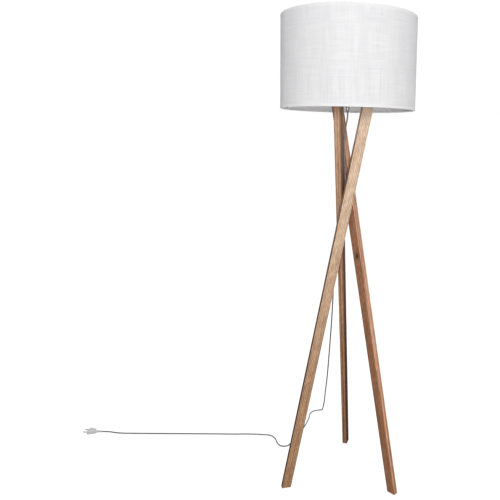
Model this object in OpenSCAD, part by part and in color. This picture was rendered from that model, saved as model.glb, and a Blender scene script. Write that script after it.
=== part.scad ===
// Tripod floor lamp: three crossed slat legs, a drum shade and a clear mains lead.
// Millimetres. The origin is on the floor, under the lamp's axis. +Z is up.

/* [Tripod] */
// Height at which the three legs cross
cross_z = 1011; // [940:1:1060]
// Lean of each leg from the vertical, in degrees
leg_lean = 11.85; // [10:0.05:13]
// Distance from the lamp's axis to a leg's centre line at the crossing
leg_offset = 21.3; // [21.3:0.1:26]
// Turn of each leg's section about its own length, in degrees
leg_roll = -4.7; // [-8:0.1:0]
// Turn of the whole tripod about the lamp's axis, in degrees
tripod_turn = -7; // [-60:1:60]
// Width of a leg at the floor
leg_foot_w = 30.8; // [26:0.1:32]
// Width of a leg at its top
leg_top_w = 37.5; // [34:0.5:40]
// Thickness of a leg at the floor
leg_foot_t = 18; // [14:0.5:18]
// Thickness of a leg at its top
leg_top_t = 22; // [19:0.5:22]
// Height of the legs' cut top ends
leg_top_z = 1320; // [1317:1:1324]

/* [Head] */
// Thickness of the steel plate that joins the legs' tops
plate_t = 3; // [2:0.5:4]
// Outer radius of the threaded tube in the middle of the head
nipple_r = 5; // [4.5:0.5:5.5]
// Outer radius of the lamp holder
holder_r = 20; // [19:0.5:21]

/* [Shade] */
// Outside diameter of the shade
shade_d = 450; // [400:5:460]
// Height of the shade
shade_h = 300; // [260:5:320]
// Height of the shade's bottom edge above the floor
shade_z = 1300; // [1297:1:1302]
// Height of the folded hems at the shade's edges
hem_h = 9; // [6:1:14]
// Diameter of the wire of the two shade rings
ring_wire = 4; // [3:0.5:5]
// Diameter of the wire spokes
spoke_wire = 3.5; // [3:0.5:4.5]
// Direction of the first spoke seen from above, in degrees
spoke_az = 45; // [30:1:60]

/* [Bulb] */
// Largest radius of the glass
bulb_r = 30; // [22:1:34]

/* [Lead] */
// Diameter of the mains lead
cord_d = 5; // [4.5:0.5:5]

/* [Hidden] */
$fn = 96;

wood = [0.66, 0.50, 0.37];
steel = [0.72, 0.73, 0.75];
white_paint = [0.93, 0.93, 0.92];
linen = [0.94, 0.94, 0.93];
brass = [0.80, 0.65, 0.35];
clear_pvc = [0.85, 0.86, 0.86];

// Leg layout: a leg leans along its own azimuth and passes the axis at leg_offset
leg_az = [30 + tripod_turn, 150 + tripod_turn, 270 + tripod_turn];
leg_below = cross_z / cos(leg_lean) + 30;
leg_above = (leg_top_z - cross_z) / cos(leg_lean) + 30;
top_x = (leg_top_z - cross_z) * tan(leg_lean);
screw_pitch = 18;
screw_r = 2;
screw_len = 26;

// Hardwood dowels from each leg's inner face into the next leg's
dowel_r = 3;
dowel_len = 26;
dowel_pos = [19, -9, cross_z - 8];
dowel_az = 50;

// Heights up the head
plate_top = leg_top_z + plate_t;
nut_h = 4;
nut_af = 14;
grip_bottom = shade_z - 6;
grip_top = grip_bottom + 21;
grip_r = 6.3;
nipple_bottom = grip_bottom + 6;
cap_z = plate_top + nut_h;
nipple_top = cap_z + 11;
shell_z = cap_z + 25;
frame_rise = 73.5;
frame_z = shade_z + frame_rise;
flange_t = 2.5;
frame_plate_t = 1.5;
shell_top = frame_z + frame_plate_t + 17;
knob_z = cap_z + 14;
knob_az = 225;

// Shade layers, from outside to inside
hem_t = 0.4;
skin_t = 0.6;
liner_t = 0.4;
shade_r = shade_d / 2;
skin_r = shade_r - hem_t;
liner_r = skin_r - skin_t;
ring_r = liner_r - liner_t - ring_wire / 2 - 0.1;
hub_in = holder_r + 0.5;
hub_out = holder_r + 9;
flange_r = holder_r + 6.5;

// E27 socket and bulb
socket_r = 13.4;
socket_wall = 0.4;
insert_z = cap_z + 18;
cap_r = 13;
bulb_cap_z = insert_z + 14;
bulb_cap_h = 25;
bulb_neck_z = bulb_cap_z + bulb_cap_h;

// Route of the lead's centre line, from the grip to the plug
floor_z = cord_d / 2;
plug_x = -984;
plug_y = 205;
plug_h = 13.6;
tail_len = 22;
body_len = 34;
route = [
    [0, 0, grip_bottom], [0, 0, 1278], [-5, 0, 1245], [-9, 0, 1205], [-8, -1, 1150], [-5, -1, 1095],
    [-3, -4, 1020], [-13, -12, 950], [-27, -8, 890], [-34, 6, 830], [-38, 28, 755], [-43, 54, 665],
    [-49, 92, 560], [-58, 145, 445], [-68, 207, 335], [-79, 281, 230], [-91, 352, 137], [-100, 402, 66],
    [-107, 427, 32], [-114, 452, 11.5], [-131, 461, 5], [-151, 455, floor_z], [-161, 438, floor_z],
    [-163, 395, floor_z], [-172, 325, floor_z], [-203, 208, floor_z], [-211, 177, floor_z],
    [-221, 160, floor_z], [-237, 154, floor_z], [-250, 158, floor_z], [-263, 175, floor_z],
    [-281, 213, floor_z], [-302, 233, floor_z], [-335, 237, floor_z], [-470, 231, floor_z],
    [-870, 207, floor_z], [-890, 206, floor_z], [-920, plug_y, 3.5], [-955, plug_y, plug_h / 2],
    [plug_x, plug_y, plug_h / 2]
];

// ---- Tripod ----

// Straight bar along +Z whose width lies along X and whose thickness lies along Y
module taper_bar(low_w, high_w, low_t, high_t, below, above) {
    intersection() {
        rotate([90, 0, 0])
            taper_side(low_w / 2, high_w / 2, below, above);
        rotate([90, 0, 90])
            taper_side(low_t / 2, high_t / 2, below, above);
    }
}

// Side view of such a bar, as a thick slab
module taper_side(low, high, below, above) {
    linear_extrude(height = 80, center = true)
        polygon([[-low, -below], [low, -below], [high, above], [-high, above]]);
}

// Cylinder along the horizontal direction az, centred at pos
module dowel_at(pos, az, r, len) {
    translate(pos)
        rotate([0, 0, az])
            rotate([0, 90, 0])
                cylinder(r = r, h = len, center = true, $fn = 32);
}

// One leg, leaning along +X; copies are turned about the lamp's axis
module leg() {
    color(wood)
    difference() {
        intersection() {
            translate([0, -leg_offset, cross_z])
                rotate([0, leg_lean, 0])
                    rotate([0, 0, leg_roll])
                        taper_bar(leg_foot_w, leg_top_w, leg_foot_t, leg_top_t, leg_below, leg_above);
            translate([-400, -200, 0])
                cube([800, 400, leg_top_z]);
        }
        dowel_at(dowel_pos, dowel_az, dowel_r, dowel_len);
        rotate([0, 0, -120])
            dowel_at(dowel_pos, dowel_az, dowel_r, dowel_len);
        for (side = [-1, 1])
            translate([top_x + side * screw_pitch / 2, -leg_offset, leg_top_z - screw_len])
                cylinder(r = screw_r, h = screw_len + 1, $fn = 24);
    }
}

module leg_left() { rotate([0, 0, leg_az[0]]) leg(); }
module leg_right() { rotate([0, 0, leg_az[1]]) leg(); }
module leg_rear() { rotate([0, 0, leg_az[2]]) leg(); }

module crossing_dowels() {
    color(wood)
    for (az = leg_az)
        rotate([0, 0, az])
            dowel_at(dowel_pos, dowel_az, dowel_r, dowel_len);
}

// ---- Head ----

// Places its children over the middle of each leg's top end
module at_leg_tops() {
    for (az = leg_az)
        rotate([0, 0, az])
            translate([top_x, -leg_offset, 0])
                children();
}

module head_plate() {
    arm_w = 24;
    hub_r = 24;
    pad_r = 18;
    reach = norm([top_x, leg_offset]);
    color(steel)
    translate([0, 0, leg_top_z])
    difference() {
        linear_extrude(height = plate_t)
            union() {
                circle(r = hub_r);
                for (az = leg_az)
                    rotate([0, 0, az - atan2(leg_offset, top_x)]) {
                        translate([0, -arm_w / 2])
                            square([reach, arm_w]);
                        translate([reach, 0])
                            circle(r = pad_r);
                    }
            }
        translate([0, 0, -1])
            cylinder(r = nipple_r + 0.2, h = plate_t + 2, $fn = 48);
        at_leg_tops()
            for (side = [-1, 1])
                translate([side * screw_pitch / 2, 0, -1])
                    cylinder(r = screw_r + 0.2, h = plate_t + 2, $fn = 24);
    }
}

// Pan-head wood screws, two in the end of each leg
module plate_screws() {
    head_r = 4;
    head_h = 2.4;
    color(steel)
    at_leg_tops()
        for (side = [-1, 1])
            translate([side * screw_pitch / 2, 0, 0])
                difference() {
                    union() {
                        translate([0, 0, leg_top_z - screw_len])
                            cylinder(r = screw_r, h = screw_len + plate_t, $fn = 24);
                        translate([0, 0, plate_top])
                            cylinder(r = head_r, h = head_h, $fn = 32);
                    }
                    translate([-head_r, -0.5, plate_top + head_h - 1.1])
                        cube([2 * head_r, 1, 2]);
                }
}

// Threaded tube that holds the lamp holder on the plate and lets the lead through
module nipple() {
    color(steel)
    translate([0, 0, nipple_bottom])
    difference() {
        cylinder(r = nipple_r, h = nipple_top - nipple_bottom, $fn = 48);
        translate([0, 0, -1])
            cylinder(r = nipple_r - 1.4, h = nipple_top - nipple_bottom + 2, $fn = 48);
    }
}

module hex_nut(z) {
    translate([0, 0, z])
    difference() {
        cylinder(r = nut_af / 2 / cos(30), h = nut_h, $fn = 6);
        translate([0, 0, -1])
            cylinder(r = nipple_r, h = nut_h + 2, $fn = 48);
    }
}

module nipple_nuts() {
    color(steel) {
        hex_nut(leg_top_z - nut_h);
        hex_nut(plate_top);
    }
}

// Metal cord grip under the head; it tapers towards the lead
module cord_grip() {
    mouth_r = cord_d / 2 + 1.6;
    color(steel)
    difference() {
        rotate_extrude()
            polygon([
                [0, grip_bottom], [mouth_r, grip_bottom], [grip_r - 0.7, grip_bottom + 6],
                [grip_r, grip_bottom + 15], [grip_r, grip_top - 1], [grip_r - 1, grip_top], [0, grip_top]
            ]);
        translate([0, 0, grip_bottom - 1])
            cylinder(r = cord_d / 2, h = grip_top - grip_bottom + 2, $fn = 48);
        translate([0, 0, nipple_bottom])
            cylinder(r = nipple_r, h = grip_top - nipple_bottom + 1, $fn = 48);
        translate([0, 0, grip_bottom + 10])
            rotate([0, 90, knob_az])
                cylinder(r = 1.2, h = grip_r + 1, $fn = 24);
    }
}

// Small grub screw that locks the cord grip on the threaded tube
module grip_screw() {
    color(steel)
    translate([0, 0, grip_bottom + 10])
        rotate([0, 90, knob_az])
            difference() {
                translate([0, 0, nipple_r])
                    cylinder(r = 1.2, h = grip_r - nipple_r + 0.2, $fn = 24);
                translate([0, 0, grip_r - 0.4])
                    cylinder(r = 0.6, h = 2, $fn = 6);
            }
}

// ---- Lamp holder ----

// Lower half of the holder, screwed on the threaded tube
module holder_cap() {
    wall = 1.6;
    bore = nipple_r + 0.1;
    color(white_paint)
    difference() {
        rotate_extrude()
            polygon([
                [bore, cap_z], [nipple_r + 5, cap_z], [nipple_r + 5, cap_z + 4],
                [holder_r - 4, cap_z + 6.5], [holder_r, cap_z + 11], [holder_r, shell_z],
                [holder_r - wall, shell_z], [holder_r - wall, cap_z + 11.8], [holder_r - 5, cap_z + 8.3],
                [nipple_r + 3, cap_z + 6.5], [nipple_r + 3, nipple_top], [bore, nipple_top]
            ]);
        translate([0, 0, knob_z])
            rotate([0, 90, knob_az])
                cylinder(r = 3.5, h = holder_r + 5, $fn = 32);
    }
}

// Upper shell with the flange that carries the shade and the thread above it
module holder_shell() {
    lip_r = holder_r - 4.2;
    wall = 1.6;
    color(white_paint)
    rotate_extrude()
        polygon([
            [holder_r - wall, shell_z], [holder_r, shell_z], [holder_r, frame_z - flange_t - 2],
            [flange_r, frame_z - flange_t], [flange_r, frame_z], [holder_r, frame_z],
            [holder_r, shell_top], [lip_r + 1.2, shell_top + 1.5], [lip_r, shell_top + 1.5],
            [lip_r, shell_top], [holder_r - wall, shell_top - 3]
        ]);
}

// Ceramic insert that carries the contacts
module holder_insert() {
    bore = socket_r + socket_wall;
    outer = bore + 2;
    color("white")
    difference() {
        rotate_extrude()
            polygon([
                [0, insert_z], [holder_r - 2, insert_z], [holder_r - 2, insert_z + 6],
                [outer, insert_z + 6], [outer, shell_top - 3], [bore, shell_top - 3],
                [bore, insert_z + 10], [0, insert_z + 10]
            ]);
        for (side = [-1, 1])
            translate([side * 9, 0, insert_z - 1])
                cylinder(r = 1.5, h = 9, $fn = 24);
        translate([0, 0, insert_z - 1])
            cylinder(r = 1.5, h = 12, $fn = 24);
    }
}

module socket_thread() {
    color(brass)
    translate([0, 0, insert_z + 10])
    difference() {
        cylinder(r = socket_r + socket_wall, h = shell_top - 3 - insert_z - 10);
        translate([0, 0, -1])
            cylinder(r = socket_r, h = shell_top - insert_z);
    }
}

// Centre contact: a rivet through the insert with a bent tongue on top
module socket_contact() {
    color(brass) {
        translate([0, 0, insert_z])
            cylinder(r = 1.5, h = 10, $fn = 24);
        translate([0, 0, insert_z + 10])
            cylinder(r = 3.5, h = 0.8, $fn = 32);
        translate([-2.5, 0, insert_z + 10.8])
            rotate([90, 0, 90])
                linear_extrude(height = 5)
                    polygon([[-5, 0], [3, 0], [6, 2.4], [5.4, 2.9], [2.5, 0.5], [-5, 0.5]]);
    }
}

module terminal_screws() {
    color(brass)
    for (side = [-1, 1])
        translate([side * 9, 0, insert_z - 2])
            difference() {
                union() {
                    cylinder(r = 2.6, h = 2, $fn = 32);
                    cylinder(r = 1.5, h = 9, $fn = 24);
                }
                translate([-3, -0.4, -1])
                    cube([6, 0.8, 1.8]);
            }
}

// Fixed threaded bush of the turn switch, in the side of the cap
module switch_body() {
    color(steel)
    translate([0, 0, knob_z])
        rotate([0, 90, knob_az])
            difference() {
                translate([0, 0, holder_r - 5])
                    cylinder(r = 3.5, h = 8, $fn = 32);
                translate([0, 0, holder_r - 6])
                    cylinder(r = 1.55, h = 12, $fn = 32);
            }
}

module switch_knob() {
    flutes = 10;
    knob_r = 6.5;
    knob_len = 11;
    color(white_paint)
    translate([0, 0, knob_z])
        rotate([0, 90, knob_az]) {
            translate([0, 0, holder_r - 5])
                cylinder(r = 1.5, h = 9, $fn = 32);
            translate([0, 0, holder_r + 3.5])
                difference() {
                    cylinder(r = knob_r, h = knob_len, $fn = 64);
                    for (i = [0 : flutes - 1])
                        rotate([0, 0, i * 360 / flutes])
                            translate([knob_r + 0.8, 0, 2])
                                cylinder(r = 1.5, h = knob_len, $fn = 24);
                }
        }
}

// Threaded ring that clamps the shade's frame on the holder's flange
module shade_nut() {
    notches = 12;
    inner = holder_r + 0.3;
    height = 7;
    color(white_paint)
    translate([0, 0, frame_z + frame_plate_t + 0.3])
    difference() {
        cylinder(r = flange_r, h = height);
        translate([0, 0, -1])
            cylinder(r = inner, h = height + 2);
        for (i = [0 : notches - 1])
            rotate([0, 0, (i + 0.5) * 360 / notches])
                translate([flange_r + 0.9, 0, 1.5])
                    cylinder(r = 1.8, h = height, $fn = 24);
    }
}

// ---- Shade ----

module wire_ring(z, r = ring_r) {
    translate([0, 0, z])
        rotate_extrude()
            translate([r, 0])
                circle(d = ring_wire, $fn = 24);
}

// Bottom ring, three straight spokes and the flat ring that sits on the holder
module shade_frame() {
    ring_z = shade_z + ring_wire / 2 + 0.5;
    spoke_z = frame_z + frame_plate_t / 2;
    spoke_r = hub_out - 1;
    fall = spoke_z - ring_z;
    run = ring_r - spoke_r;
    color(white_paint)
    union() {
        wire_ring(ring_z);
        translate([0, 0, frame_z])
            difference() {
                cylinder(r = hub_out, h = frame_plate_t);
                translate([0, 0, -1])
                    cylinder(r = hub_in, h = frame_plate_t + 2);
            }
        for (i = [0 : 2])
            rotate([0, 0, spoke_az + i * 120])
                translate([spoke_r, 0, spoke_z])
                    rotate([0, 90 + atan2(fall, run), 0])
                        cylinder(d = spoke_wire, h = norm([fall, run]), $fn = 24);
    }
}

module top_ring() {
    color(white_paint)
    wire_ring(shade_z + shade_h - ring_wire / 2 - 0.5);
}

module drum(outer, thickness, z, h) {
    translate([0, 0, z])
    difference() {
        cylinder(r = outer, h = h, $fn = 180);
        translate([0, 0, -1])
            cylinder(r = outer - thickness, h = h + 2, $fn = 180);
    }
}

module shade_liner() {
    color("white")
    drum(liner_r, liner_t, shade_z + 0.5, shade_h - 1);
}

module shade_fabric() {
    color(linen)
    drum(skin_r, skin_t, shade_z, shade_h);
}

module hem_top() {
    color(linen)
    drum(shade_r, hem_t, shade_z + shade_h - hem_h, hem_h);
}

module hem_bottom() {
    color(linen)
    drum(shade_r, hem_t, shade_z, hem_h);
}

// ---- Bulb ----

module bulb_cap() {
    color(steel)
    rotate_extrude()
        polygon([
            [0, bulb_cap_z], [6, bulb_cap_z], [10, bulb_cap_z + 4], [cap_r, bulb_cap_z + 6],
            [cap_r, bulb_neck_z], [0, bulb_neck_z]
        ]);
}

module bulb_tip() {
    color(brass)
    translate([0, 0, bulb_cap_z - 1.2])
        cylinder(r = 4, h = 1.2, $fn = 32);
}

// Pear-shaped glass: a straight neck that widens into the ball
module bulb_glass() {
    wall = 0.8;
    ball_z = bulb_neck_z + 47;
    tilt = 35;
    neck_r = cap_r - 0.2;
    neck_h = 12;
    color([0.97, 0.97, 0.95])
    rotate_extrude()
        polygon(concat(
            [[neck_r, bulb_neck_z], [neck_r, bulb_neck_z + neck_h]],
            [for (a = [-tilt : 5 : 90]) [bulb_r * cos(a), ball_z + bulb_r * sin(a)]],
            [for (a = [90 : -5 : -tilt]) [(bulb_r - wall) * cos(a), ball_z + (bulb_r - wall) * sin(a)]],
            [[neck_r - wall, bulb_neck_z + neck_h], [neck_r - wall, bulb_neck_z]]
        ));
}

// ---- Lead and plug ----

// Lead inside the threaded tube, with its two cores up to the terminals
module inner_lead() {
    split_z = nipple_top + 1;
    core_r = 0.9;
    color(clear_pvc) {
        translate([0, 0, grip_bottom])
            cylinder(d = cord_d, h = split_z - grip_bottom, $fn = 32);
        for (side = [-1, 1])
            translate([side * 1.2, 0, split_z])
                rotate([0, side * atan2(5.6, insert_z - 2 - split_z), 0])
                    cylinder(r = core_r, h = norm([5.6, insert_z - 2 - split_z]) - 0.9, $fn = 16);
    }
}

// Length of the straight line between the route's points i and i + 1
function chord(i) = norm(route[i + 1] - route[i]);

// Direction of the route at its point i: the nearer neighbour counts more
function heading(i) =
    let (last = len(route) - 1)
    i == 0 ? (route[1] - route[0]) / chord(0)
    : i == last ? (route[last] - route[last - 1]) / chord(last - 1)
    : ((route[i] - route[i - 1]) / chord(i - 1) * chord(i)
        + (route[i + 1] - route[i]) / chord(i) * chord(i - 1)) / (chord(i - 1) + chord(i));

// The same point, but not lower than a lead lying on the floor
function lifted(p) = [p.x, p.y, max(p.z, floor_z)];

// Point at t of the curve from a to d, which leaves a towards b and reaches d from c
function bezier(a, b, c, d, t) =
    pow(1 - t, 3) * a + 3 * t * pow(1 - t, 2) * b + 3 * pow(t, 2) * (1 - t) * c + pow(t, 3) * d;

// Point at t of the lead's curve between the route's points i and i + 1
function lead_point(i, t) =
    let (reach = chord(i) / 3)
    bezier(
        route[i], lifted(route[i] + heading(i) * reach),
        lifted(route[i + 1] - heading(i + 1) * reach), route[i + 1], t
    );

// Direction across the lead that turns smoothly with it
function across(dir) =
    let (side = cross(dir, [0.05, 1, 0.02]))
    side / norm(side);

// Ring of points round point i of a line
function cord_ring(line, i, sides) =
    let (
        last = len(line) - 1,
        step = line[min(i + 1, last)] - line[max(i - 1, 0)],
        dir = step / norm(step),
        x_dir = across(dir),
        y_dir = cross(dir, x_dir)
    )
    [for (k = [0 : sides - 1])
        line[i] + cord_d / 2 * (cos(k * 360 / sides) * x_dir + sin(k * 360 / sides) * y_dir)];

module cord() {
    sides = 8;
    line = concat(
        [for (i = [0 : len(route) - 2], t = [0, 0.5]) lead_point(i, t)],
        [route[len(route) - 1]]
    );
    rings = len(line);
    points = [for (i = [0 : rings - 1]) each cord_ring(line, i, sides)];
    walls = [for (i = [0 : rings - 2], k = [0 : sides - 1])
        let (low = i * sides, high = low + sides, next = (k + 1) % sides)
        [low + k, low + next, high + next, high + k]];
    ends = [[for (k = [sides - 1 : -1 : 0]) k], [for (k = [0 : sides - 1]) (rings - 1) * sides + k]];
    color(clear_pvc)
    polyhedron(points = points, faces = concat(walls, ends), convexity = 10);
}

// Places its children at the end of the lead, with +X pointing on along it
module at_plug() {
    translate([plug_x, plug_y, 0])
        rotate([0, 0, 180])
            children();
}

// Flat two-pin plug lying on its side face, with a tapered tail
module plug_body() {
    color(clear_pvc)
    at_plug()
    union() {
        translate([0, 0, plug_h / 2])
            rotate([90, 0, 90])
                rotate_extrude($fn = 32)
                    polygon([[0, 0], [3.4, 0], [4.6, tail_len], [4.6, tail_len + 6], [0, tail_len + 6]]);
        translate([tail_len, 0, 0])
            linear_extrude(height = plug_h)
                polygon([
                    [0, -7], [7, -13.5], [24, -17.6], [body_len, -17.6], [body_len, 17.6], [24, 17.6],
                    [7, 13.5], [0, 7]
                ]);
    }
}

module plug_pins() {
    pin_pitch = 19;
    pin_len = 19;
    color(steel)
    at_plug()
        for (side = [-1, 1])
            translate([tail_len + body_len, side * pin_pitch / 2, plug_h / 2])
                rotate([0, 90, 0])
                    rotate_extrude($fn = 32)
                        polygon([[0, 0], [2, 0], [2, pin_len - 1.2], [1.2, pin_len], [0, pin_len]]);
}

leg_left();
leg_right();
leg_rear();
crossing_dowels();
head_plate();
plate_screws();
nipple();
nipple_nuts();
cord_grip();
grip_screw();
holder_cap();
holder_shell();
holder_insert();
socket_thread();
socket_contact();
terminal_screws();
switch_body();
switch_knob();
shade_nut();
shade_frame();
top_ring();
shade_liner();
shade_fabric();
hem_top();
hem_bottom();
bulb_cap();
bulb_tip();
bulb_glass();
inner_lead();
cord();
plug_body();
plug_pins();
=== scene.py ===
"""Tripod floor lamp: materials, detailed pieces, stage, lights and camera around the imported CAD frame.

Everything is in metres, in the CAD's own frame: the origin is on the floor under the lamp's axis, +Z is up.
"""

import math

import bmesh
import bpy
from mathutils import Matrix, Vector, geometry


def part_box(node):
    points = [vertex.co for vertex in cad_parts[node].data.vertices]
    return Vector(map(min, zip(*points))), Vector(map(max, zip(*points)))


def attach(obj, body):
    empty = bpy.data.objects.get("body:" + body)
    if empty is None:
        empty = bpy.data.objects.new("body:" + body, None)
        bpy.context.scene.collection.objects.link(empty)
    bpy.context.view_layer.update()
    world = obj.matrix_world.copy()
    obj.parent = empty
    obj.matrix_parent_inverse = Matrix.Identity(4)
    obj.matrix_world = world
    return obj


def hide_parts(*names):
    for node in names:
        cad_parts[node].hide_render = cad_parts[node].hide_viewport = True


# ---- Measurements that looks depend on, in metres ----
LEG_EDGE = 0.0014  # rounding of the legs' long edges
HEM_CLOTH = 0.0004  # thickness of the folded hem
HEM_SIDE = 0.0034  # from the shade's edge to where the hem starts to turn under it
HEM_TURN = 0.0042  # radius of that turn
HEM_WRAP = 0.0025  # radius of the hem round the shade's ring wire
HEM_TUCK = 150  # how far it goes on round the wire, in degrees
SEAM_WIDTH = 0.012  # overlap of the shade's fabric at the back
SEAM_AZIMUTH = math.radians(97)
DRUM_STEPS = 288  # segments round the shade
WIRE = 0.002  # radius of the shade's ring wire
PLAIN = (1, 1, 1)  # tone of wood that is left as it is
SKIN_CLOTH = 0.0006  # thickness of the shade's fabric
SKIN_INSET = 0.002  # from the shade's edge to the fabric's
LINING_FILM = 0.0004  # thickness of the shade's lining
LINING_INSET = 0.003  # from the shade's edge to the lining's
SEAM_SUNK, SEAM_RAISED = 0.0001, 0.00035  # how far the seam goes into the fabric and stands out of it
PLUG_SIDES = 40  # points round the plug
STAGE_RADIUS = 14.0

# The camera that was fitted to the photo: place in metres, angles in radians, lens in millimetres, and
# shift as a share of the sensor's width
CAMERA_PLACE = (0.0948, -1.9642, 1.2087)
CAMERA_YAW, CAMERA_PITCH, CAMERA_ROLL = 0.0375, -0.1298, -0.0190
CAMERA_LENS = 41.59
CAMERA_SHIFT = (-0.204, -0.074)

# The lead's route, which repeats the list in part.scad
FLOOR = 0.0025
PLUG_Y = 0.205
PLUG_MID = 0.0068
CORD_ROUTE = [
    (0, 0, 1.294), (0, 0, 1.278), (-0.005, 0, 1.245), (-0.009, 0, 1.205), (-0.008, -0.001, 1.150),
    (-0.005, -0.001, 1.095), (-0.003, -0.004, 1.020), (-0.013, -0.012, 0.950), (-0.027, -0.008, 0.890),
    (-0.034, 0.006, 0.830), (-0.038, 0.028, 0.755), (-0.043, 0.054, 0.665), (-0.049, 0.092, 0.560),
    (-0.058, 0.145, 0.445), (-0.068, 0.207, 0.335), (-0.079, 0.281, 0.230), (-0.091, 0.352, 0.137),
    (-0.100, 0.402, 0.066), (-0.107, 0.427, 0.032), (-0.114, 0.452, 0.0115), (-0.131, 0.461, 0.005),
    (-0.151, 0.455, FLOOR), (-0.161, 0.438, FLOOR), (-0.163, 0.395, FLOOR), (-0.172, 0.325, FLOOR),
    (-0.203, 0.208, FLOOR), (-0.211, 0.177, FLOOR), (-0.221, 0.160, FLOOR), (-0.237, 0.154, FLOOR),
    (-0.250, 0.158, FLOOR), (-0.263, 0.175, FLOOR), (-0.281, 0.213, FLOOR), (-0.302, 0.233, FLOOR),
    (-0.335, 0.237, FLOOR), (-0.470, 0.231, FLOOR), (-0.870, 0.207, FLOOR), (-0.890, 0.206, FLOOR),
    (-0.920, PLUG_Y, 0.0035), (-0.955, PLUG_Y, PLUG_MID), (-0.984, PLUG_Y, PLUG_MID),
]
CORD_DIAMETER = 0.005


# ---- Node materials ----

class Nodes:
    """Builds one node material round a Principled shader."""

    def __init__(self, name, **fixed):
        self.material = bpy.data.materials.new(name)
        self.material.use_nodes = True
        self.tree = self.material.node_tree
        self.tree.nodes.clear()
        self.output = self.add("ShaderNodeOutputMaterial")
        self.shader = self.add("ShaderNodeBsdfPrincipled")
        self.link(self.shader, "BSDF", self.output, "Surface")
        for socket, value in fixed.items():
            self.shader.inputs[socket.replace("_", " ")].default_value = value

    def add(self, kind, **settings):
        node = self.tree.nodes.new(kind)
        for key, value in settings.items():
            setattr(node, key, value)
        return node

    def link(self, a, out, b, into):
        self.tree.links.new(a.outputs[out], b.inputs[into])

    def place(self, kind="Object", scale=(1, 1, 1), offset=(0, 0, 0), turn=(0, 0, 0)):
        """Texture coordinates in metres, scaled."""
        source = self.add("ShaderNodeTexCoord")
        mapping = self.add("ShaderNodeMapping")
        mapping.inputs["Scale"].default_value = scale
        mapping.inputs["Location"].default_value = offset
        mapping.inputs["Rotation"].default_value = turn
        self.link(source, kind, mapping, "Vector")
        return mapping, "Vector"

    def noise(self, at, detail=3.0, roughness=0.5):
        node = self.add("ShaderNodeTexNoise")
        node.inputs["Scale"].default_value = 1.0
        node.inputs["Detail"].default_value = detail
        node.inputs["Roughness"].default_value = roughness
        self.link(*at, node, "Vector")
        return node, "Fac"

    def wave(self, at, scale, direction, distortion, detail_scale):
        node = self.add("ShaderNodeTexWave", wave_type="BANDS", wave_profile="SIN", bands_direction=direction)
        node.inputs["Scale"].default_value = scale
        node.inputs["Distortion"].default_value = distortion
        node.inputs["Detail"].default_value = 2.0
        node.inputs["Detail Scale"].default_value = detail_scale
        self.link(*at, node, "Vector")
        return node, "Fac"

    def ramp(self, value, *stops):
        """Colour ramp through (position, colour or grey) stops."""
        node = self.add("ShaderNodeValToRGB")
        ramp = node.color_ramp
        while len(ramp.elements) < len(stops):
            ramp.elements.new(0.5)
        for element, (position, colour) in zip(ramp.elements, stops):
            element.position = position
            grey = isinstance(colour, (int, float))
            element.color = (colour, colour, colour, 1) if grey else (*colour, 1)
        self.link(*value, node, "Fac")
        return node, "Color"

    def math(self, operation, a, b):
        node = self.add("ShaderNodeMath", operation=operation)
        for i, term in enumerate((a, b)):
            if isinstance(term, (int, float)):
                node.inputs[i].default_value = term
            else:
                self.link(*term, node, i)
        return node, "Value"

    def mix(self, kind, factor, a, b):
        """Colour mix; a, b and the factor are sockets or constants."""
        node = self.add("ShaderNodeMix", data_type="RGBA", blend_type=kind)
        for index, term in ((0, factor), (6, a), (7, b)):
            if isinstance(term, (int, float)):
                node.inputs[index].default_value = term
            elif hasattr(term[0], "outputs"):
                self.link(*term, node, index)
            else:
                node.inputs[index].default_value = (*term, 1)
        return node, 2

    def axis(self, vector, name):
        node = self.add("ShaderNodeSeparateXYZ")
        self.link(*vector, node, "Vector")
        return node, name

    def rescale(self, value, low, high, new_low, new_high):
        node = self.add("ShaderNodeMapRange")
        for name, number in (
            ("From Min", low), ("From Max", high), ("To Min", new_low), ("To Max", new_high),
        ):
            node.inputs[name].default_value = number
        self.link(*value, node, "Value")
        return node, "Result"

    def bump(self, height, strength, distance, under=None):
        node = self.add("ShaderNodeBump")
        node.inputs["Strength"].default_value = strength
        node.inputs["Distance"].default_value = distance
        self.link(*height, node, "Height")
        if under:
            self.link(*under, node, "Normal")
        return node, "Normal"

    def to(self, value, socket):
        self.link(*value, self.shader, socket)

    def let_through(self, colour, share):
        """Lets that share of the light come through a thin sheet."""
        glow = self.add("ShaderNodeBsdfTranslucent")
        glow.inputs["Color"].default_value = colour
        blend = self.add("ShaderNodeMixShader")
        blend.inputs[0].default_value = share
        self.link(self.shader, "BSDF", blend, 1)
        self.link(glow, "BSDF", blend, 2)
        self.link(blend, "Shader", self.output, "Surface")


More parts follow.
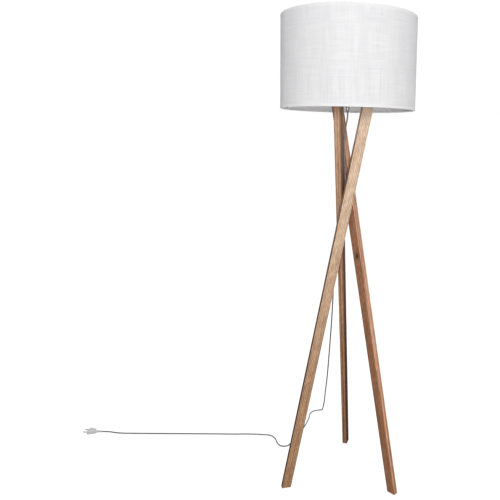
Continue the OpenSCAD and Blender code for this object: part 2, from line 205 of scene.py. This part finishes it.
def wood(name, seed, tint, faces=None, painted_height_light=(1.0, 1.0), painted_top_light=0.6, knot=None):
    """Oiled wood: local Z runs along the grain, X across the face and Y through the slat.

    faces holds the painted light and shade of the +X, -X, +Y and -Y faces, painted_height_light the
    painted shade and light at the foot and at the top, and painted_top_light how far the wood is painted
    paler at the top. knot is where one lies, in the leg's own frame.
    """
    n = Nodes(name, Specular_IOR_Level=0.16)
    shift = (seed * 1.37, seed * 0.61, seed * 2.11)
    # Growth layers: bands across the slat, bent slowly along its length
    layers = n.place(scale=(1, 1.7, 0.055), offset=(shift[0] + 0.05, shift[1], shift[2]), turn=(0, 0, 0.35))
    band = n.wave(layers, 62, "X", distortion=5.5, detail_scale=0.55)
    broad = n.noise(n.place(scale=(30, 38, 2.2), offset=shift), detail=4, roughness=0.6)
    streak = n.noise(n.place(scale=(190, 220, 9), offset=shift), detail=4, roughness=0.65)
    mottle = n.noise(n.place(scale=(120, 130, 34), offset=shift), detail=3, roughness=0.6)
    fine = n.noise(n.place(scale=(700, 800, 40), offset=shift), detail=3, roughness=0.65)
    pores = n.noise(n.place(scale=(1500, 1700, 75), offset=shift), detail=1.5, roughness=0.5)
    pore = n.ramp(pores, (0.0, 0.0), (0.40, 0.0), (0.5, 1.0), (1.0, 1.0))
    figure = n.math("ADD", n.math("MULTIPLY", band, 0.28), n.math("MULTIPLY", broad, 0.40))
    figure = n.math("ADD", figure, n.math("MULTIPLY", streak, 0.32))
    base = n.ramp(
        figure,
        (0.26, (0.215, 0.100, 0.048)), (0.42, (0.360, 0.192, 0.098)),
        (0.56, (0.510, 0.302, 0.172)), (0.74, (0.660, 0.438, 0.275)),
    )
    # Painted light: the wood is made paler towards the top of the leg, with its streaks still in it
    streaks = n.ramp(figure, (0.28, (0.70, 0.62, 0.55)), (0.66, (1.05, 1.05, 1.05)))
    painted_light_tone = n.mix("MULTIPLY", 1.0, (0.88, 0.78, 0.65), streaks)
    height = n.axis(n.place(), "Z")
    base = n.mix("MIX", n.rescale(height, 0.25, 1.35, 0.0, painted_top_light), base, painted_light_tone)
    specks = n.ramp(fine, (0.32, (0.76, 0.74, 0.72)), (0.62, (1.18, 1.18, 1.18)))
    base = n.mix("MULTIPLY", 0.6, base, specks)
    flecks = n.ramp(mottle, (0.30, (0.84, 0.76, 0.70)), (0.60, (1.12, 1.12, 1.12)))
    base = n.mix("MULTIPLY", 0.8, base, flecks)
    base = n.mix("MULTIPLY", 0.32, base, pore)
    base = n.mix("MULTIPLY", 1.0, base, tint)
    # Painted shade and light along the leg: a darker tone at the foot and a lighter one at the top
    up_the_leg = n.rescale(height, 0, 1.35, 0, 1)
    base = n.mix("MULTIPLY", 1.0, base, n.ramp(up_the_leg, (0.0, painted_height_light[0]), (1.0, painted_height_light[1])))
    if faces:
        # Painted light and shade: each face is made lighter or darker by which way it faces, most of all low
        # down
        normal = n.add("ShaderNodeTexCoord")
        strength = n.rescale(height, 0.35, 1.30, 1.0, 0.38)
        for letter, high, low in (("X", faces[0], faces[1]), ("Y", faces[2], faces[3])):
            facing = n.rescale(n.axis((normal, "Normal"), letter), -1, 1, 0, 1)
            tone = n.ramp(facing, (0.05, low), (0.3, PLAIN), (0.7, PLAIN), (0.95, high))
            base = n.mix("MULTIPLY", strength, base, tone)
    relief = n.math("ADD", n.math("MULTIPLY", pore, 0.6), n.math("MULTIPLY", fine, 0.4))
    if knot:
        # A small dark knot with the grain closing round it
        place = n.add("ShaderNodeTexCoord")
        offset = n.add("ShaderNodeVectorMath", operation="SUBTRACT")
        offset.inputs[1].default_value = knot
        n.link(place, "Object", offset, 0)
        flatten = n.add("ShaderNodeVectorMath", operation="MULTIPLY")
        flatten.inputs[1].default_value = (1.0, 0.25, 0.55)
        n.link(offset, "Vector", flatten, 0)
        size = n.add("ShaderNodeVectorMath", operation="LENGTH")
        n.link(flatten, "Vector", size, 0)
        far = (size, "Value")
        rings = n.math("SINE", n.math("MULTIPLY", far, 3400.0), 0.0)
        rings = n.rescale(rings, -1, 1, 0.75, 1.0)
        reach = n.rescale(far, 0.0, 0.012, 0.0, 1.0)
        core = n.ramp(reach, (0.0, 0.24), (0.32, 0.36), (0.5, 0.70), (1.0, 1.0))
        ringed = n.mix("MULTIPLY", n.rescale(far, 0.004, 0.012, 0.9, 0.0), core, rings)
        base = n.mix("MULTIPLY", 1.0, base, ringed)
    n.to(base, "Base Color")
    n.to(n.ramp(streak, (0.3, 0.72), (0.7, 0.56)), "Roughness")
    n.to(n.bump(relief, 0.35, 0.00025, n.bump(band, 0.12, 0.0004)), "Normal")
    return n.material


def linen(name, hem=False):
    """Slubby plain weave; UV is in metres, U round the shade and V up it."""
    n = Nodes(name, Specular_IOR_Level=0.12, Sheen_Weight=0.35, Sheen_Roughness=0.6, Diffuse_Roughness=0.3)
    weft = n.wave(n.place("UV"), 240, "Y", distortion=1.1, detail_scale=0.5)
    warp = n.wave(n.place("UV"), 240, "X", distortion=1.1, detail_scale=0.5)
    thin_weft = n.noise(n.place("UV", scale=(10, 560, 1)), detail=3, roughness=0.6)
    thin_warp = n.noise(n.place("UV", scale=(560, 8, 1), offset=(7, 3, 0)), detail=3, roughness=0.6)
    thick_weft = n.noise(n.place("UV", scale=(9, 190, 1), offset=(3, 8, 0)), detail=2, roughness=0.5)
    thick_warp = n.noise(n.place("UV", scale=(190, 8, 1), offset=(5, 1, 0)), detail=2, roughness=0.5)
    fuzz = n.noise(n.place("UV", scale=(1500, 1500, 1)), detail=3, roughness=0.7)
    # Thin threads make the cloth's fine ruled tone, and thick ones stand out as slubs
    slub_weft = n.ramp(thin_weft, (0.30, 0.0), (0.70, 1.0))
    slub_warp = n.ramp(thin_warp, (0.30, 0.0), (0.70, 1.0))
    band_weft = n.ramp(thick_weft, (0.50, 0.0), (0.72, 1.0))
    band_warp = n.ramp(thick_warp, (0.50, 0.0), (0.70, 1.0))
    slub = n.math("ADD", n.math("MULTIPLY", slub_weft, 0.42), n.math("MULTIPLY", slub_warp, 0.58))
    band = n.math("ADD", n.math("MULTIPLY", band_weft, 0.40), n.math("MULTIPLY", band_warp, 0.60))
    weave = n.math("MAXIMUM", n.math("MULTIPLY", weft, slub_weft), n.math("MULTIPLY", warp, slub_warp))
    tone = n.math("ADD", n.math("MULTIPLY", slub, 0.66), n.math("MULTIPLY", band, 0.34))
    tone = n.math("ADD", tone, n.math("MULTIPLY", fuzz, 0.12))
    if hem:
        deep, light = (0.88, 0.88, 0.88), (0.93, 0.93, 0.93)
    else:
        deep, light = (0.70, 0.70, 0.705), (0.92, 0.92, 0.92)
    colour = n.ramp(tone, (0.10, deep), (0.60, light))
    colour = n.mix("MULTIPLY", 0.12 if hem else 0.25, colour, n.ramp(weave, (0.0, 0.72), (0.45, 1.0)))
    n.to(colour, "Base Color")
    n.to(n.ramp(fuzz, (0.3, 0.92), (0.7, 0.78)), "Roughness")
    height = n.math("ADD", n.math("MULTIPLY", weave, 0.55), n.math("MULTIPLY", slub, 0.9))
    height = n.math("ADD", height, n.math("MULTIPLY", band, 0.5))
    n.to(n.bump(height, 0.55, 0.00025 if hem else 0.00035), "Normal")
    n.let_through((0.95, 0.95, 0.96, 1), 0.42)
    return n.material


def film():
    """White laminated lining: a smooth film with a faint print of the weave behind it."""
    n = Nodes("lining_film", Specular_IOR_Level=0.35)
    cloud = n.noise(n.place("UV", scale=(9, 9, 1)), detail=3)
    print_weft = n.noise(n.place("UV", scale=(14, 420, 1)), detail=2)
    print_warp = n.noise(n.place("UV", scale=(420, 14, 1)), detail=2)
    print_through = n.math("ADD", n.math("MULTIPLY", print_weft, 0.5), n.math("MULTIPLY", print_warp, 0.5))
    colour = n.ramp(cloud, (0.3, (0.88, 0.86, 0.86)), (0.7, (0.94, 0.92, 0.92)))
    n.to(n.mix("MULTIPLY", 0.35, colour, n.ramp(print_through, (0.35, 0.86), (0.62, 1.0))), "Base Color")
    n.to(n.ramp(cloud, (0.3, 0.42), (0.7, 0.55)), "Roughness")
    n.to(n.bump(print_through, 0.25, 0.0003), "Normal")
    n.let_through((0.9, 0.9, 0.9, 1), 0.42)
    return n.material


def coated(name, colour, rough, bump=0.00006, grain=900.0, **fixed):
    """Paint, plastic or ceramic: a slightly uneven surface with small changes of tone and gloss."""
    n = Nodes(name, **fixed)
    tone = n.noise(n.place(scale=(60, 60, 60)), detail=3)
    skin = n.noise(n.place(scale=(grain, grain, grain)), detail=2, roughness=0.6)
    low = tuple(c * 0.92 for c in colour)
    n.to(n.ramp(tone, (0.3, low), (0.7, colour)), "Base Color")
    n.to(n.ramp(tone, (0.3, min(rough + 0.10, 1)), (0.7, rough)), "Roughness")
    n.to(n.bump(skin, 0.5, bump), "Normal")
    return n.material


def metal(name, colour, rough):
    """Bare metal with fine lines across Z and duller patches."""
    n = Nodes(name, Metallic=1.0)
    line = n.noise(n.place(scale=(40, 40, 1400)), detail=3, roughness=0.65)
    patch = n.noise(n.place(scale=(140, 140, 140)), detail=4, roughness=0.6)
    low = tuple(c * 0.75 for c in colour)
    n.to(n.ramp(patch, (0.3, low), (0.62, colour)), "Base Color")
    wear = n.math("MULTIPLY", n.math("ADD", line, patch), 0.5)
    n.to(n.ramp(wear, (0.3, rough + 0.14), (0.7, rough)), "Roughness")
    n.to(n.bump(line, 0.35, 0.00004), "Normal")
    return n.material


def opal():
    """Frosted white glass."""
    n = Nodes(
        "opal_glass", Subsurface_Weight=0.35, Subsurface_Radius=(1, 1, 1), Subsurface_Scale=0.004,
        Coat_Weight=0.5, Coat_Roughness=0.08, Specular_IOR_Level=0.5,
    )
    tone = n.noise(n.place(scale=(30, 30, 30)), detail=3)
    frost = n.noise(n.place(scale=(1600, 1600, 1600)), detail=2)
    n.to(n.ramp(tone, (0.3, (0.90, 0.89, 0.87)), (0.7, (0.95, 0.94, 0.92))), "Base Color")
    n.to(n.ramp(frost, (0.3, 0.34), (0.7, 0.24)), "Roughness")
    n.to(n.bump(frost, 0.2, 0.00003), "Normal")
    return n.material


def pvc(name, colour, see_through, gloss):
    """Soft PVC that lets part of the light in."""
    n = Nodes(name, Transmission_Weight=see_through, IOR=1.48, Coat_Weight=gloss, Coat_Roughness=0.12)
    cloud = n.noise(n.place(scale=(25, 25, 25)), detail=3)
    skin = n.noise(n.place(scale=(700, 700, 700)), detail=2)
    low = tuple(c * 0.86 for c in colour)
    n.to(n.ramp(cloud, (0.3, low), (0.7, colour)), "Base Color")
    n.to(n.ramp(skin, (0.3, 0.54 - gloss * 0.6), (0.7, 0.42 - gloss * 0.6)), "Roughness")
    n.to(n.bump(skin, 0.3, 0.00005), "Normal")
    return n.material


# ---- Mesh helpers ----

def piece(name, mesh, material, body, slot, *stands_for):
    """Links a new object, gives it its finish and lets it ride on a body."""
    obj = bpy.data.objects.new(name, mesh)
    bpy.context.scene.collection.objects.link(obj)
    obj.data.materials.append(material)
    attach(obj, body)
    if stands_for:
        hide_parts(*stands_for)
    return obj


def revolve(name, profile, start=0.0, turn=2 * math.pi, steps=DRUM_STEPS):
    """Closed profile of (radius, z) points turned about the axis, with UVs in metres."""
    whole = abs(turn - 2 * math.pi) < 1e-6
    count = steps if whole else steps + 1
    bm = bmesh.new()
    rings = []
    for i in range(count):
        a = start + turn * i / steps
        rings.append([bm.verts.new((r * math.cos(a), r * math.sin(a), z)) for r, z in profile])
    uv = bm.loops.layers.uv.new("UVMap")
    along = [0.0]
    for (r0, z0), (r1, z1) in zip(profile, profile[1:] + profile[:1]):
        along.append(along[-1] + math.hypot(r1 - r0, z1 - z0))
    wide = max(r for r, z in profile)
    sides = len(profile)
    for i in range(steps):
        a, b = rings[i], rings[(i + 1) % count]
        for k in range(sides):
            m = (k + 1) % sides
            face = bm.faces.new((a[k], b[k], b[m], a[m]))
            corners = ((i, along[k]), (i + 1, along[k]), (i + 1, along[k + 1]), (i, along[k + 1]))
            for loop, (step, v) in zip(face.loops, corners):
                loop[uv].uv = (wide * turn * step / steps, v)
    if not whole:
        bm.faces.new(rings[0])
        bm.faces.new(list(reversed(rings[-1])))
    bmesh.ops.recalc_face_normals(bm, faces=bm.faces)
    mesh = bpy.data.meshes.new(name)
    bm.to_mesh(mesh)
    bm.free()
    mesh.shade_smooth()
    mesh.set_sharp_from_angle(angle=math.radians(35))
    return mesh


def outline(node, height):
    """The four corners of a leg's cut end at that height, in order round it."""
    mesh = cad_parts[node].data
    flat = [v.co.to_2d() for v in mesh.vertices if abs(v.co.z - height) < 1e-5]
    corners = []
    for i in geometry.convex_hull_2d(flat):
        point = Vector((*flat[i], height))
        if all((point - other).length > 1e-4 for other in corners):
            corners.append(point)
    return corners


def slat(node, material):
    """A leg with eased edges, in its own frame: Z along the leg, X across its wide face."""
    low_z, high_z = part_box(node)[0].z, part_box(node)[1].z
    foot, top = outline(node, low_z), outline(node, high_z)
    foot_mid = sum(foot, Vector()) / 4
    top_mid = sum(top, Vector()) / 4

    def misfit(shift):
        return sum(((foot[i] - foot_mid) - (top[(i + shift) % 4] - top_mid)).length for i in range(4))

    turn = min(range(4), key=misfit)
    top = [top[(i + turn) % 4] for i in range(4)]
    along = (top_mid - foot_mid).normalized()
    wide = max((foot[1] - foot[0], foot[2] - foot[1]), key=lambda e: e.length)
    wide = (wide - along * wide.dot(along)).normalized()
    place = Matrix((wide, along.cross(wide), along)).transposed().to_4x4()
    place.translation = foot_mid
    back = place.inverted()
    bm = bmesh.new()
    lower = [bm.verts.new(back @ p) for p in foot]
    upper = [bm.verts.new(back @ p) for p in top]
    bm.faces.new(lower)
    bm.faces.new(upper)
    for i in range(4):
        bm.faces.new((lower[i], lower[(i + 1) % 4], upper[(i + 1) % 4], upper[i]))
    bmesh.ops.recalc_face_normals(bm, faces=bm.faces)
    bmesh.ops.bevel(bm, geom=list(bm.edges), offset=LEG_EDGE, segments=3, profile=0.5, affect="EDGES")
    mesh = bpy.data.meshes.new(node + "_slat")
    bm.to_mesh(mesh)
    bm.free()
    mesh.shade_smooth()
    mesh.set_sharp_from_angle(angle=math.radians(28))
    obj = bpy.data.objects.new(node + "_slat", mesh)
    obj.matrix_world = place
    bpy.context.scene.collection.objects.link(obj)
    mesh.materials.append(material)
    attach(obj, "stand")
    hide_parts(node)


def finish(node, material):
    """Gives a CAD node that stays its node material."""
    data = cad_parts[node].data
    data.materials.clear()
    data.materials.append(material)


# ---- Frame and camera ----

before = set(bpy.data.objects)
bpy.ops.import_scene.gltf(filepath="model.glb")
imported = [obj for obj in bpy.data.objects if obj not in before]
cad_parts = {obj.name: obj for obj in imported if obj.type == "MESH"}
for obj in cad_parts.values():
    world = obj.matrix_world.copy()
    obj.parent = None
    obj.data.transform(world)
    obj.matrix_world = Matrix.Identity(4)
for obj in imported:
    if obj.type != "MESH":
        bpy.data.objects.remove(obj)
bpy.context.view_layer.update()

camera = bpy.data.objects.new("camera", bpy.data.cameras.new("camera"))
bpy.context.scene.collection.objects.link(camera)
bpy.context.scene.camera = camera
camera.data.sensor_width = 36
camera.data.lens = CAMERA_LENS
camera.data.shift_x, camera.data.shift_y = CAMERA_SHIFT
camera.data.clip_end = 60
yaw, pitch, roll = (
    Matrix.Rotation(angle, 3, about)
    for angle, about in ((CAMERA_YAW, "Z"), (CAMERA_PITCH, "X"), (CAMERA_ROLL, "Y"))
)
aim = yaw @ pitch @ roll
right, forward, up = aim.col[0], aim.col[1], aim.col[2]
view = Matrix((right, up, -forward)).transposed().to_4x4()
view.translation = CAMERA_PLACE
camera.matrix_world = view


# ---- Lead and plug ----

def lead_curve():
    """One Bezier spline through the route, with part.scad's own handles."""
    curve = bpy.data.curves.new("lead", "CURVE")
    curve.dimensions = "3D"
    curve.bevel_depth = CORD_DIAMETER / 2
    curve.bevel_resolution = 4
    curve.use_fill_caps = True
    curve.resolution_u = 8
    spline = curve.splines.new("BEZIER")
    route = [Vector(p) for p in CORD_ROUTE]
    spline.bezier_points.add(len(route) - 1)
    steps = [b - a for a, b in zip(route, route[1:])]
    for i, point in enumerate(spline.bezier_points):
        before, after = steps[max(i - 1, 0)], steps[min(i, len(steps) - 1)]
        if i == 0 or i == len(steps):
            heading = after.normalized()
        else:
            heading = before.normalized() * after.length + after.normalized() * before.length
            heading /= before.length + after.length
        point.handle_left_type = point.handle_right_type = "FREE"
        point.co = route[i]
        point.handle_left = route[i] - heading * before.length / 3
        point.handle_right = route[i] + heading * after.length / 3
        point.handle_left.z = max(point.handle_left.z, FLOOR)
        point.handle_right.z = max(point.handle_right.z, FLOOR)
    return curve


def plug_section(x, half_width, half_height, power):
    """One cross-section of the plug, a rounded rectangle or circle, at x along it."""
    points = []
    for k in range(PLUG_SIDES):
        a = 2 * math.pi * k / PLUG_SIDES
        c, s = math.cos(a), math.sin(a)
        points.append((
            x,
            half_width * math.copysign(abs(c) ** power, c),
            half_height * math.copysign(abs(s) ** power, s),
        ))
    return points


def plug_mesh():
    """Moulded flat plug: ribbed tapering tail, waisted grip, flat front. +X runs towards the pins."""
    low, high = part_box("plug_body")
    length = high.x - low.x
    tail = 0.022
    wide, thick = (high.y - low.y) / 2, (high.z - low.z) / 2
    thin_end, widening, groove_depth = 0.0034, 0.0012, 0.0007
    ribs = 6
    steps = ribs * 8
    sections = []
    for i in range(steps + 1):
        t = i / steps
        radius = thin_end + widening * t
        groove = groove_depth * max(0.0, math.sin(2 * math.pi * ribs * t)) if 0.04 < t < 0.97 else 0.0
        sections.append(plug_section(tail * t, radius - groove, radius - groove, 1.0))
    # Sections of the body: place along the plug, half width, half height, and power (smaller is squarer)
    body = [
        (0.0225, 0.0052, 0.0050, 0.95), (0.0240, 0.0070, 0.0060, 0.80), (0.0265, 0.0096, 0.0066, 0.62),
        (0.0300, 0.0130, thick, 0.45), (0.0330, 0.0141, thick - 0.0004, 0.40),
        (0.0365, 0.0144, thick - 0.0007, 0.38),
        (0.0405, 0.0151, thick - 0.0005, 0.36), (0.0450, 0.0171, thick, 0.32), (0.0480, wide, thick, 0.28),
        (length - 0.0016, wide, thick, 0.24), (length - 0.0005, wide - 0.0004, thick - 0.0004, 0.24),
        (length, wide - 0.0014, thick - 0.0014, 0.24),
    ]
    sections += [plug_section(*row) for row in body]
    bm = bmesh.new()
    rings = [[bm.verts.new(p) for p in section] for section in sections]
    for a, b in zip(rings, rings[1:]):
        for k in range(PLUG_SIDES):
            m = (k + 1) % PLUG_SIDES
            bm.faces.new((a[k], a[m], b[m], b[k]))
    bm.faces.new(rings[0])
    bm.faces.new(rings[-1])
    bmesh.ops.recalc_face_normals(bm, faces=bm.faces)
    mesh = bpy.data.meshes.new("plug")
    bm.to_mesh(mesh)
    bm.free()
    place = Matrix.Translation((high.x, (low.y + high.y) / 2, thick))
    mesh.transform(place @ Matrix.Rotation(math.pi, 4, "Z"))
    mesh.shade_smooth()
    mesh.set_sharp_from_angle(angle=math.radians(40))
    return mesh


clear_pvc = pvc("clear_pvc", (0.20, 0.19, 0.185), 0.25, 0.04)
plug_pvc = pvc("plug_pvc", (0.72, 0.72, 0.71), 0.15, 0.3)
plug = piece("plug", plug_mesh(), plug_pvc, "stand", "plug_plastic", "plug_body")
lead = piece("lead", lead_curve(), clear_pvc, "stand", "clear_pvc", "cord")

# ---- Legs ----

# Each leg's face tones, its tones at the foot and top and its paler top are painted light and shade
slat("leg_left", wood(
    "wood_left", 1.0, (0.98, 0.97, 0.96),
    faces=((0.75, 0.7, 0.65), (0.22, 0.14, 0.09), (0.9, 0.9, 0.9), PLAIN), painted_height_light=(0.86, 1.06),
))
slat("leg_right", wood(
    "wood_right", 2.3, (0.74, 0.59, 0.55),
    faces=((1.2, 1.2, 1.2), (2.0, 2.35, 2.7), PLAIN, (0.9, 0.9, 0.9)), painted_height_light=(0.90, 0.96), painted_top_light=0.15,
    knot=(-0.002, 0.009, 0.823),
))
slat("leg_rear", wood(
    "wood_rear", 3.7, (0.76, 0.66, 0.59),
    faces=((0.9, 0.9, 0.9), PLAIN, (0.9, 0.9, 0.9), (0.25, 0.16, 0.11)), painted_height_light=(0.76, 0.94), painted_top_light=0.40,
))

# ---- Shade ----

skin_low, skin_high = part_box("shade_fabric")
hem_low, hem_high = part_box("hem_bottom")
skin_r = skin_high.x
liner_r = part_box("shade_liner")[1].x
rim_r = hem_high.x
hem_h = hem_high.z - hem_low.z
base_z, crown_z = skin_low.z, skin_high.z
ring_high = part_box("top_ring")[1]
ring_r = ring_high.x - WIRE
fabric = linen("linen")
hem_fabric = linen("linen_hem", hem=True)



def tube(name, outer, thickness, inset):
    """Wall of the drum with that outer radius, which stops that far inside the drum's edges."""
    low, high = base_z + inset, crown_z - inset
    return revolve(name, [(outer, low), (outer, high), (outer - thickness, high), (outer - thickness, low)])


skin = piece(
    "shade_skin", tube("shade_skin", skin_r, SKIN_CLOTH, SKIN_INSET),
    fabric, "shade", "shade_fabric", "shade_fabric",
)
piece(
    "shade_lining", tube("shade_lining", liner_r, LINING_FILM, LINING_INSET),
    film(), "shade", "shade_liner", "shade_liner",
)


def hem_profile(edge_z, inward):
    """The hem's strip: down the outside, round the wire ring and tucked back behind it.

    inward is +1 for the bottom edge and -1 for the top edge.
    """
    wire_z = edge_z + inward * HEM_WRAP
    line = [(rim_r, edge_z + inward * hem_h), (rim_r, edge_z + inward * HEM_SIDE)]
    turn = rim_r - HEM_TURN
    turn_steps, tuck_steps = 8, 12
    for step in range(turn_steps + 1):
        a = math.radians(step * 90 / turn_steps)
        line.append((turn + HEM_TURN * math.cos(a), wire_z - inward * HEM_WRAP * math.sin(a)))
    for step in range(1, tuck_steps + 1):
        a = math.radians(90 + step * HEM_TUCK / tuck_steps)
        line.append((ring_r + HEM_WRAP * math.cos(a), wire_z - inward * HEM_WRAP * math.sin(a)))
    outer, inner = [], []
    for i, (r, z) in enumerate(line):
        (r0, z0), (r1, z1) = line[max(i - 1, 0)], line[min(i + 1, len(line) - 1)]
        dr, dz = r1 - r0, z1 - z0
        size = math.hypot(dr, dz)
        outer.append((r, z))
        inner.append((r + inward * HEM_CLOTH * dz / size, z - inward * HEM_CLOTH * dr / size))
    return outer + inner[::-1]


hems = [
    piece("hem_strip_bottom", revolve("hem_strip_bottom", hem_profile(base_z, 1)), hem_fabric, "shade",
          "shade_fabric", "hem_bottom"),
    piece("hem_strip_top", revolve("hem_strip_top", hem_profile(crown_z, -1)), hem_fabric, "shade",
          "shade_fabric", "hem_top"),
]

half = SEAM_WIDTH / 2 / skin_r
seam = piece(
    "shade_seam",
    revolve(
        "shade_seam",
        [(skin_r - SEAM_SUNK, base_z + hem_h), (skin_r + SEAM_RAISED, base_z + hem_h),
         (skin_r + SEAM_RAISED, crown_z - hem_h), (skin_r - SEAM_SUNK, crown_z - hem_h)],
        start=SEAM_AZIMUTH - half, turn=2 * half, steps=6,
    ),
    fabric, "shade", "shade_fabric",
)

# ---- Finishes of the CAD nodes that stay ----

zinc = metal("zinc_steel", (0.66, 0.67, 0.69), 0.26)
bright = metal("nickel_grip", (0.36, 0.36, 0.37), 0.30)
brass = metal("brass", (0.80, 0.62, 0.30), 0.22)
aluminium = metal("aluminium", (0.80, 0.80, 0.81), 0.24)
nickel = metal("pin_nickel", (0.76, 0.74, 0.69), 0.18)
powder = coated("white_powder_coat", (0.88, 0.88, 0.87), 0.42, bump=0.00004, grain=1500.0)
moulded = coated("white_plastic", (0.88, 0.88, 0.86), 0.30, Coat_Weight=0.2, Coat_Roughness=0.15)
porcelain = coated("ceramic", (0.86, 0.84, 0.79), 0.62, bump=0.00012, grain=700.0)
# The dowels' wood is darkened as painted shade, for the gap where the legs cross
dowel_wood = wood("dowel_wood", 5.1, (0.45, 0.36, 0.30))

for names, material in (
    (("head_plate", "plate_screws", "nipple", "nipple_nuts", "grip_screw", "switch_body"), zinc),
    (("cord_grip",), bright),
    (("socket_thread", "socket_contact", "terminal_screws", "bulb_tip"), brass),
    (("bulb_cap",), aluminium),
    (("plug_pins",), nickel),
    (("shade_frame", "top_ring"), powder),
    (("holder_cap", "holder_shell", "shade_nut", "switch_knob"), moulded),
    (("holder_insert",), porcelain),
    (("bulb_glass",), opal()),
    (("inner_lead",), clear_pvc),
    (("crossing_dowels",), dowel_wood),
):
    for node in names:
        finish(node, material)

# ---- Stage and lights ----


def stage_material(name, colour, glow):
    """Matt white that glows by itself, so that it stays white without a lamp on it."""
    n = Nodes(name, Specular_IOR_Level=0.0)
    cloud = n.noise(n.place(scale=(0.6, 0.6, 0.6)), detail=2)
    n.to(n.ramp(cloud, (0.3, colour), (0.7, min(colour * 1.01, 1.0))), "Base Color")
    n.shader.inputs["Roughness"].default_value = 0.9
    n.shader.inputs["Emission Color"].default_value = (1, 1, 1, 1)
    n.shader.inputs["Emission Strength"].default_value = glow
    return n.material


def stage_floor():
    """White floor that is seen, but adds no light or reflection of its own."""
    bm = bmesh.new()
    bmesh.ops.create_circle(bm, cap_ends=True, segments=96, radius=STAGE_RADIUS)
    mesh = bpy.data.meshes.new("floor")
    bm.to_mesh(mesh)
    bm.free()
    floor = bpy.data.objects.new("floor", mesh)
    bpy.context.scene.collection.objects.link(floor)
    mesh.materials.append(stage_material("floor", 0.10, 1.0))
    floor.visible_diffuse = False
    floor.visible_glossy = False


def stage_backdrop():
    """White surround that is seen, but adds no light or reflection of its own."""
    bm = bmesh.new()
    bmesh.ops.create_uvsphere(bm, u_segments=48, v_segments=24, radius=STAGE_RADIUS - 0.1)
    bmesh.ops.reverse_faces(bm, faces=bm.faces)
    mesh = bpy.data.meshes.new("backdrop")
    bm.to_mesh(mesh)
    bm.free()
    backdrop = bpy.data.objects.new("backdrop", mesh)
    bpy.context.scene.collection.objects.link(backdrop)
    mesh.materials.append(stage_material("backdrop", 0.04, 1.0))
    backdrop.visible_diffuse = False
    backdrop.visible_glossy = False
    backdrop.visible_shadow = False
    backdrop.visible_transmission = False


def softbox(name, place, target, size, power):
    """Square white light of that size in metres and power in watts, which the camera does not see."""
    light = bpy.data.lights.new(name, "AREA")
    light.shape = "RECTANGLE"
    light.size, light.size_y = size
    light.energy = power
    lamp = bpy.data.objects.new(name, light)
    lamp.location = place
    lamp.visible_camera = False
    lamp.rotation_euler = (Vector(target) - Vector(place)).to_track_quat("-Z", "Y").to_euler()
    bpy.context.scene.collection.objects.link(lamp)


stage_floor()
stage_backdrop()
softbox("key", (0.30, -2.5, 1.40), (0, 0, 1.25), (1.0, 1.0), 54)
softbox("back", (-0.5, 2.6, 1.9), (0, 0, 1.2), (1.3, 1.3), 45)
softbox("top", (0.2, 0.4, 3.4), (0, 0, 1.0), (2.0, 2.0), 12)

world = bpy.data.worlds.new("studio")
bpy.context.scene.world = world
world.use_nodes = True
world.node_tree.nodes["Background"].inputs["Color"].default_value = (0.99, 0.99, 1.01, 1)
world.node_tree.nodes["Background"].inputs["Strength"].default_value = 0.42
bpy.context.scene.view_settings.view_transform = "Standard"
